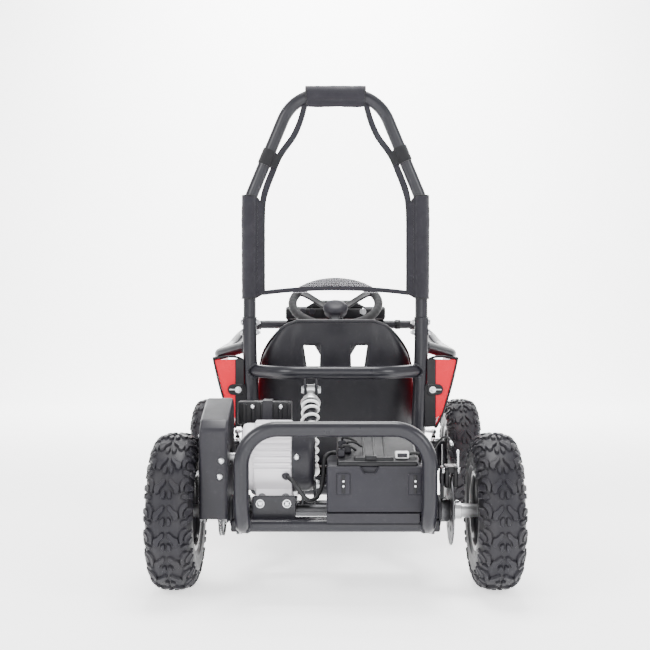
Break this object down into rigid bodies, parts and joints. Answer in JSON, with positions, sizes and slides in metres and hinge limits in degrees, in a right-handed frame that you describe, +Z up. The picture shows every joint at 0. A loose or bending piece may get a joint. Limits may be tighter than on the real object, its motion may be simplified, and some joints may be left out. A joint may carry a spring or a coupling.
{
  "type": "electric off-road kart",
  "caption": "Small electric off-road kart: tube frame with roll hoop and mesh screen, bucket seat, chain-driven sprung rear cradle and knobbly tyres.",
  "frame": {"origin": "middle of the footprint, on the ground", "axes": "+X to the kart's right, +Y forward, +Z up"},
  "size_m": [0.85, 1.37, 1.1555],
  "materials": {
    "frame_paint": "semi-gloss charcoal grey powder coat",
    "dark_sheet": "satin black powder coat",
    "red_plastic": "glossy moulded red plastic",
    "black_plastic": "grained black moulded plastic",
    "zinc": "bright zinc plating",
    "steel": "bare steel",
    "cast_aluminium": "silver painted casting",
    "spring_white": "white powder-coated spring wire",
    "mesh_fabric": "off-white open mesh",
    "dark_fabric": "dark coated polyester",
    "rubber_grip": "soft black rubber",
    "tyre": "black knobbly tyre rubber",
    "rim_paint": "black painted pressed steel"
  },
  "bodies": {
    "chassis": {"lower_frame": "frame_paint", "posts": "frame_paint", "roll_hoop": "frame_paint", "rear_cross_tube": "frame_paint", "side_bars": "frame_paint", "front_tower": "frame_paint", "front_bumper": "frame_paint", "floor_pan": "dark_sheet", "nose_fairing": "red_plastic", "dash_housing": "black_plastic", "side_fairing_left": "red_plastic", "side_fairing_right": "red_plastic", "seat_shell": "black_plastic", "frame_bolts": "zinc", "mesh_screen": "mesh_fabric", "mesh_edging": "dark_fabric", "top_pad": "dark_fabric", "column_bushes": "rubber_grip", "cradle_pivot_bolts": "zinc", "brake_cable_front": "rubber_grip"},
    "steering": {"steering_column": "dark_sheet", "steering_hub": "black_plastic", "steering_grip": "rubber_grip"},
    "knuckle_left_body": {"knuckle_left": "dark_sheet", "kingpin_left": "zinc"},
    "knuckle_right_body": {"knuckle_right": "dark_sheet", "kingpin_right": "zinc"},
    "tie_left_body": {"tie_rod_left": "zinc"},
    "tie_right_body": {"tie_rod_right": "zinc"},
    "front_wheel_left": {"front_tyre_left": "tyre", "front_rim_left": "rim_paint"},
    "front_wheel_right": {"front_tyre_right": "tyre", "front_rim_right": "rim_paint"},
    "rear_cradle": {"cradle": "frame_paint", "rear_bumper": "frame_paint", "bearing_carriers": "dark_sheet", "motor_body": "cast_aluminium", "motor_end_bell": "black_plastic", "motor_leads": "rubber_grip", "controller": "black_plastic", "battery_case": "black_plastic", "battery_lid": "black_plastic", "chain_guard": "dark_sheet", "drive_chain": "steel", "brake_caliper": "cast_aluminium", "brake_cable_rear": "rubber_grip"},
    "brake_lever": {"caliper_arm": "zinc"},
    "shock_upper": {"shock_body": "zinc", "shock_spring": "spring_white"},
    "shock_lower": {"shock_rod": "zinc"},
    "axle_set": {"rear_axle": "zinc", "sprocket": "steel", "brake_disc": "steel", "rear_tyre_left": "tyre", "rear_rim_left": "rim_paint", "rear_tyre_right": "tyre", "rear_rim_right": "rim_paint"},
    "motor_shaft": {"motor_sprocket": "steel"},
    "throttle": {"throttle_pedal": "dark_sheet"},
    "brake": {"brake_pedal": "dark_sheet"}
  },
  "joints": [
    {"name": "steering_turn", "type": "hinge", "parent": "chassis", "child": "steering", "pos_m": [0, 0.276, 0.614], "axis": [0, 0.515, -0.8572], "range_deg": [-40, 40]},
    {"name": "knuckle_left_turn", "type": "hinge", "parent": "chassis", "child": "knuckle_left_body", "pos_m": [-0.298, 0.38, 0.165], "axis": [0, 0, 1], "range_deg": [-24, 24]},
    {"name": "knuckle_right_turn", "type": "hinge", "parent": "chassis", "child": "knuckle_right_body", "pos_m": [0.298, 0.38, 0.165], "axis": [0, 0, 1], "range_deg": [-24, 24]},
    {"name": "tie_left_turn", "type": "hinge", "parent": "knuckle_left_body", "child": "tie_left_body", "pos_m": [-0.298, 0.455, 0.224], "axis": [0, 0, 1], "range_deg": [-24, 24]},
    {"name": "tie_right_turn", "type": "hinge", "parent": "knuckle_right_body", "child": "tie_right_body", "pos_m": [0.298, 0.455, 0.224], "axis": [0, 0, 1], "range_deg": [-24, 24]},
    {"name": "front_left_spin", "type": "hinge", "parent": "knuckle_left_body", "child": "front_wheel_left", "pos_m": [-0.3665, 0.38, 0.165], "axis": [1, 0, 0], "continuous": true},
    {"name": "front_right_spin", "type": "hinge", "parent": "knuckle_right_body", "child": "front_wheel_right", "pos_m": [0.3665, 0.38, 0.165], "axis": [1, 0, 0], "continuous": true},
    {"name": "cradle_swing", "type": "hinge", "parent": "chassis", "child": "rear_cradle", "pos_m": [0, -0.185, 0.15], "axis": [-1, 0, 0], "range_deg": [0, 7], "stiffness_Nm_per_rad": 2000, "springref_deg": -6.88},
    {"name": "shock_tilt", "type": "hinge", "parent": "chassis", "child": "shock_upper", "pos_m": [-0.06, -0.19, 0.398], "axis": [-1, 0, 0], "range_deg": [0, 3]},
    {"name": "shock_slide", "type": "slide", "parent": "shock_upper", "child": "shock_lower", "axis": [0, 0.7107, 0.7035], "range_m": [0, 0.025], "deforming": ["shock_spring"]},
    {"name": "axle_spin", "type": "hinge", "parent": "rear_cradle", "child": "axle_set", "pos_m": [0, -0.52, 0.165], "axis": [1, 0, 0], "continuous": true},
    {"name": "motor_spin", "type": "hinge", "parent": "rear_cradle", "child": "motor_shaft", "pos_m": [-0.24, -0.53, 0.281], "axis": [1, 0, 0], "continuous": true},
    {"name": "brake_lever_turn", "type": "hinge", "parent": "rear_cradle", "child": "brake_lever", "pos_m": [0.258, -0.52, 0.252], "axis": [-1, 0, 0], "range_deg": [0, 22]},
    {"name": "throttle_press", "type": "hinge", "parent": "chassis", "child": "throttle", "pos_m": [0.08, 0.575, 0.182], "axis": [-1, 0, 0], "range_deg": [0, 18], "stiffness_Nm_per_rad": 6, "springref_deg": -14.32},
    {"name": "brake_press", "type": "hinge", "parent": "chassis", "child": "brake", "pos_m": [-0.08, 0.575, 0.182], "axis": [-1, 0, 0], "range_deg": [0, 18], "stiffness_Nm_per_rad": 6, "springref_deg": -14.32}
  ],
  "couplings": [
    {"joint": "knuckle_left_turn", "follows": "steering_turn", "ratio": -0.585},
    {"joint": "knuckle_right_turn", "follows": "steering_turn", "ratio": -0.585},
    {"joint": "tie_left_turn", "follows": "steering_turn", "ratio": 0.585},
    {"joint": "tie_right_turn", "follows": "steering_turn", "ratio": 0.585},
    {"joint": "shock_tilt", "follows": "cradle_swing", "ratio": 0.383},
    {"joint": "shock_slide", "follows": "cradle_swing", "m_per_rad": 0.1838},
    {"joint": "motor_spin", "follows": "axle_spin", "ratio": 3.0667},
    {"joint": "brake_lever_turn", "follows": "brake_press", "ratio": 1.2}
  ]
}
